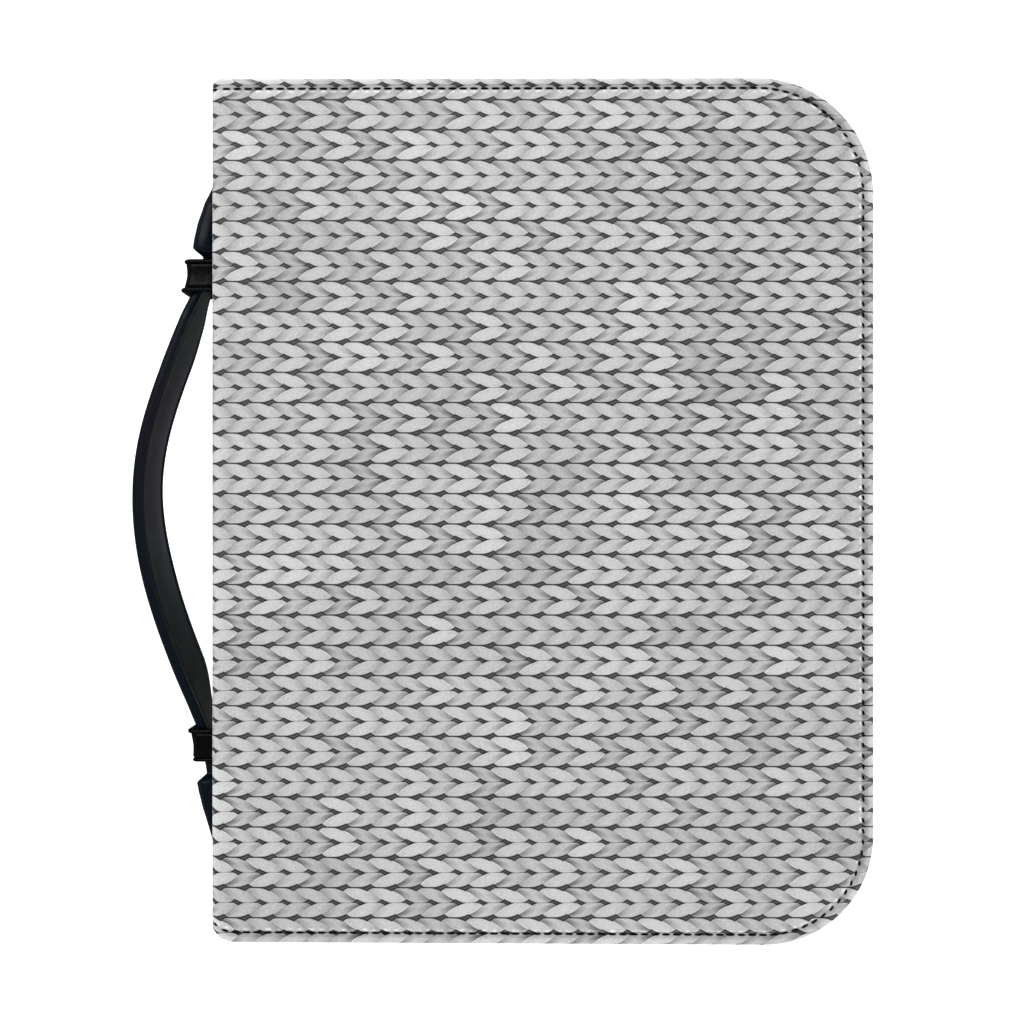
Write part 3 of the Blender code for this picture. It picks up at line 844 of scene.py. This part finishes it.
def buildStrap(material):
    y, width, high = strapStations()
    half = strap["thickness"] / 2
    low = np.full(len(y), -half)
    corner = np.minimum((high - low) * 0.38, width * 0.3)
    corners = roundedRing(width / 2, low, high, corner, 5)
    # flat stretches between the corners get their own points, with a crease beside each edge
    def face(fromEnd, toEnd, up):
        shares = np.array([0.045, 0.07, 0.09, 0.11, 0.15, 0.3, 0.5, 0.7, 0.85, 0.89, 0.91, 0.93, 0.955])
        start, end = fromEnd[:, -1], toEnd[:, 0]
        line = start[:, None] + (end - start)[:, None] * shares[None, :, None]
        depth = 0.00016 * (np.exp(-(((shares - 0.09) / 0.022) ** 2)) + np.exp(-(((shares - 0.91) / 0.022) ** 2)))
        line[..., 1] -= up * depth[None, :]
        return line
    ring = np.concatenate([
        corners[0], face(corners[0], corners[1], 1), corners[1],
        corners[2], face(corners[2], corners[3], -1), corners[3],
    ], 1)
    step = 5e-4
    slope = (strapLift(y + step) - strapLift(y - step)) / (2 * step)
    slope[np.argmin(np.abs(y - strap["bowApex"]))] = 0
    long = np.hypot(1, slope)
    outward = np.stack([-1 / long, -slope / long, np.zeros(len(y))], -1)
    turn = strapTwist(y)[:, None]
    up = np.array([[0.0, 0.0, 1.0]])
    out = outward * np.cos(turn) - up * np.sin(turn)
    across = up * np.cos(turn) + outward * np.sin(turn)
    drawnIn = strap["pivot"] * width * np.sin(strapTwist(y))
    drawnIn = drawnIn + strap["slack"] * np.exp(-(((y - strap["slackAt"]) / 0.022) ** 2))
    middle = np.stack([spineX - strapLift(y) + drawnIn, y, np.full(len(y), midZ)], -1)
    points = middle[:, None] + across[:, None] * ring[..., :1] + out[:, None] * ring[..., 1:]
    run = np.concatenate([[0], np.cumsum(np.linalg.norm(np.diff(middle, axis=0), axis=1))])
    uv = np.stack([np.repeat(run[:, None], ring.shape[1], 1), ring[..., 0]], -1)
    heightUv = np.stack([np.repeat((width / 2)[:, None], ring.shape[1], 1) - np.abs(ring[..., 0]), ring[..., 1]], -1)
    tips = [points[:1].mean(1, keepdims=True).repeat(ring.shape[1], 1), points[-1:].mean(1, keepdims=True).repeat(ring.shape[1], 1)]
    points = np.concatenate([tips[0], points, tips[1]])
    uvs = {"strap": np.concatenate([uv[:1], uv, uv[-1:]]), "edge": np.concatenate([heightUv[:1], heightUv, heightUv[-1:]])}
    piece = gridPiece("carrying_strap", points, material, uvs, closeColumns=True, outward=True)
    return dress(piece, "handle_leather", "handle_strap")


def strapLeather():
    maker = Maker("strapLeather", roughness=0.45, Specular_IOR_Level=0.11)
    run, across = maker.uv("strap")
    inset, height = maker.uv("edge")
    place = maker.objectPlace()
    grain = maker.noise(place, 2400.0, 2.0, 0.6)
    mottle = maker.noise(place, 90.0, 3.0, 0.6)
    # black paint on the cut edges and the border outside the crease, charcoal between
    painted = 1 - inset.step(strap["crease"] - 0.0006, strap["crease"])
    crease = inset.hill(strap["crease"], 0.0005)
    corner = inset.hill(0.0007, 0.0005)
    # the face is darker towards the lower end and lighter towards its far edge in the upper half
    upper = 1 - run.step(0.115, 0.19)
    far = (0.0 - across).step(-0.004, 0.0105)
    face = strap["faceGrey"] * (0.50 + 0.50 * upper) + far * upper * 0.10
    grey = face + (grain - 0.5) * 0.16 + (mottle - 0.5) * 0.06
    # the crease is darkened as painted shade and the rounded corner by the edge is lightened as a painted highlight
    grey = grey * (1 - painted) + strap["edgeGrey"] * painted - crease * 0.05 + corner * 0.03
    # the charcoal leans to green at the ends and to plum at the bow's middle
    plum = 1 - abs(run - strap["plumAt"]).step(0.01, 0.05)
    linear = grey.most(0.0) ** 2.2
    red = 0.74 + 0.26 * plum - painted * 0.5
    green = 1.04 - 0.12 * plum - painted * 0.15
    blue = 1.12 + 0.06 * plum + painted * 0.9
    colour = maker.node("ShaderNodeCombineColor", {}, {0: linear * red, 1: linear * green, 2: linear * blue})
    raised = grain * 0.35 * (1 - painted) - crease + corner * 0.3
    return maker.put(Base_Color=colour, Roughness=0.5 - painted * 0.20, Normal=maker.bump(raised, 0.00018, 0.7))


# A keeper is a sleeve whose wall is the profile (out, along) swept round a rounded rectangle:
# a flat band between two rolled beads
def buildKeeper(name, side, beads, dish, material, node):
    halfLength = strap["keeperLength"] / 2
    bead = strap["keeperBead"]
    wall = strap["keeperWall"]
    turn = np.radians(np.linspace(150, -110, 14))
    outs, alongs = [], []
    for share in beads:
        round_ = wall / 2 + (bead * 0.95 - wall / 2) * share
        outs.append(wall / 2 + (wall * 0.05 + bead * 0.75) * share + round_ * np.sin(turn))
        alongs.append(halfLength - round_ * 0.8 + round_ * np.cos(turn))
    waist = np.linspace(alongs[0][-1], -alongs[1][-1], 12)[1:-1]
    level = wall - dish * (1 - np.linspace(-1, 1, 10) ** 2)
    out = np.concatenate([[0.0], outs[0], level, outs[1][::-1], [0.0]])
    along = np.concatenate([[halfLength * 0.9], alongs[0], waist, -alongs[1][::-1], [-halfLength * 0.9]])
    keeper = side * strap["keeperSpacing"] / 2
    mouth = keeper - side * halfLength
    top = strapLift(np.array([mouth]))[0] + strap["thickness"] / 2 + strap["topPlay"] + zipLook["gap"]
    y = keeper + along
    near = side * (keeper - y) / halfLength
    high = top + strap["keeperFlare"] * np.maximum(near, 0) + out
    innerBack = keeperBack() + wall
    low = innerBack - np.minimum(out, wall)
    halfWidth = strap["neckWidth"] / 2 + strap["sidePlay"] + out
    corner = np.minimum(strap["keeperCorner"] + out * 0.8, (high - low) * 0.45)
    corners = roundedRing(halfWidth, low, high, corner, 6)
    parts = []
    for i, one in enumerate(corners):
        parts.append(one)
        after = corners[(i + 1) % 4][:, 0]
        shares = np.linspace(0, 1, 7)[1:-1]
        parts.append(one[:, -1][:, None] + (after - one[:, -1])[:, None] * shares[None, :, None])
    ring = np.concatenate(parts, 1)
    points = np.stack([spineX - ring[..., 1], np.repeat(y[:, None], ring.shape[1], 1), midZ + ring[..., 0]], -1)
    piece = gridPiece(name, points, material, closeRows=True, closeColumns=True, outward=True)
    return dress(piece, "keeper_leather", node)


def keeperLeather():
    maker = Maker("keeperLeather", roughness=0.25, Specular_IOR_Level=0.08)
    place = maker.objectPlace()
    grain = maker.noise(place, 1100.0, 3.0, 0.6)
    folds = maker.noise(place, 420.0, 2.0, 0.5)
    grey = 0.035 + (folds - 0.5) * 0.04
    normal = maker.bump(grain * 0.3 + folds, 0.00016, 0.8)
    return maker.put(Base_Color=maker.grey(grey, (0.55, 1.0, 1.6)), Roughness=0.14 + folds * 0.2, Normal=normal)


def blackEnamel():
    maker = Maker("blackEnamel", roughness=0.28, metallic=0.6)
    place = maker.objectPlace()
    wear = maker.noise(place, 500.0, 3.0)
    return maker.put(Base_Color=maker.grey(0.13 + wear * 0.06), Roughness=0.2 + wear * 0.2)


# Studio: a pale floor, a broad light from the upper right and soft fill from all round

studio = {
    "frameWidth": 0.32529,  # of what the camera sees at the front cover
    "lens": 60.0,
    "sensor": 36.0,
    "aimX": -0.00966,
    "aimY": -0.00048,
    "keyPower": 8.9,
    "fillPower": 4.0,
    "zenith": 0.42,
    "under": 0.06,
    "floorGlow": 0.8,
}


# The world is white round the horizon and softer overhead, so that a low view sees a white backdrop
# and the upper faces keep some contrast. Below the floor, where only gloss looks, it is dark.
def studioWorld():
    world = bpy.data.worlds.new("studioWorld")
    world.use_nodes = True
    sky = Maker.onTree(world.node_tree)
    place = sky.node("ShaderNodeTexCoord", {}, {}, "Generated")
    height = sky.node("ShaderNodeSeparateXYZ", {}, {0: place}, 2)
    level = 1 + (studio["zenith"] - 1) * height.step(0.12, 0.5)
    level = level * height.step(-0.12, -0.02) + studio["under"]
    background = world.node_tree.nodes["Background"]
    background.inputs[0].default_value = (1, 1, 1, 1)
    sky.place(background, "Strength", level)
    return world


def buildStudio():
    scene = bpy.context.scene
    scene.view_settings.view_transform = "Standard"
    floorMaker = Maker("paleFloor", roughness=0.9, Specular_IOR_Level=0.1)
    floorMaker.shader.inputs["Base Color"].default_value = (0.93, 0.93, 0.93, 1)
    floorMaker.shader.inputs["Emission Color"].default_value = (1, 1, 1, 1)
    floorMaker.shader.inputs["Emission Strength"].default_value = studio["floorGlow"]
    reach = 30.0
    corners = np.array([[-reach, -reach, -0.0002], [reach, -reach, -0.0002], [reach, reach, -0.0002], [-reach, reach, -0.0002]])
    floor = meshPiece("studio_floor", corners, np.array([[0, 1, 2, 3]]), floorMaker.material)
    floor.visible_glossy = False
    scene.world = studioWorld()
    for name, power, size, place in (
        ("keyLight", studio["keyPower"], 0.8, (-0.55, 0.70, 1.25)),
        ("fillLight", studio["fillPower"], 1.2, (0.75, -0.55, 1.15)),
    ):
        light = bpy.data.lights.new(name, "AREA")
        light.energy = power
        light.size = size
        lamp = bpy.data.objects.new(name, light)
        lamp.location = place
        aim = np.array(place)
        lamp.rotation_euler = (math.atan2(math.hypot(aim[0], aim[1]), aim[2]), 0, math.atan2(aim[0], -aim[1]))
        scene.collection.objects.link(lamp)
    camera = bpy.data.cameras.new("frontCamera")
    camera.lens = studio["lens"]
    camera.sensor_width = studio["sensor"]
    eye = bpy.data.objects.new("frontCamera", camera)
    away = studio["frameWidth"] * studio["lens"] / studio["sensor"]
    eye.location = (studio["aimX"], studio["aimY"], cover["depth"] + away)
    scene.collection.objects.link(eye)
    scene.camera = eye


buildStudio()
print("studio ready")
leatherMaterial = printedLeather()
threadMaterial = blackThread()
tapeMaterial = wovenTape()
coilMaterial = nylonCoil()
strapMaterial = strapLeather()
keeperMaterial = keeperLeather()
enamel = blackEnamel()
print("materials ready")
buildWrap(leatherMaterial)
print("wrap built")
buildStitches(threadMaterial)
print("stitches sewn")
chainEdge = zipLook["chainWidth"] / 2 + zipLook["gap"]
panelEdge = cover["wall"] + zipLook["gap"]
buildTape("front_tape", cover["depth"] - panelEdge, midZ + chainEdge, tapeMaterial, "zip_tape_front")
buildTape("back_tape", panelEdge, midZ - chainEdge, tapeMaterial, "zip_tape_back")
buildChain(coilMaterial)
print("zip built")
buildStrap(strapMaterial)
buildKeeper("upper_keeper", 1, (0.75, 1.0), 0.00022, keeperMaterial, "keeper_upper")
buildKeeper("lower_keeper", -1, (1.0, 0.15), 0.00005, keeperMaterial, "keeper_lower")
print("handle built")
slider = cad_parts["zip_slider"]
slider.data.materials.clear()
slider.data.materials.append(enamel)
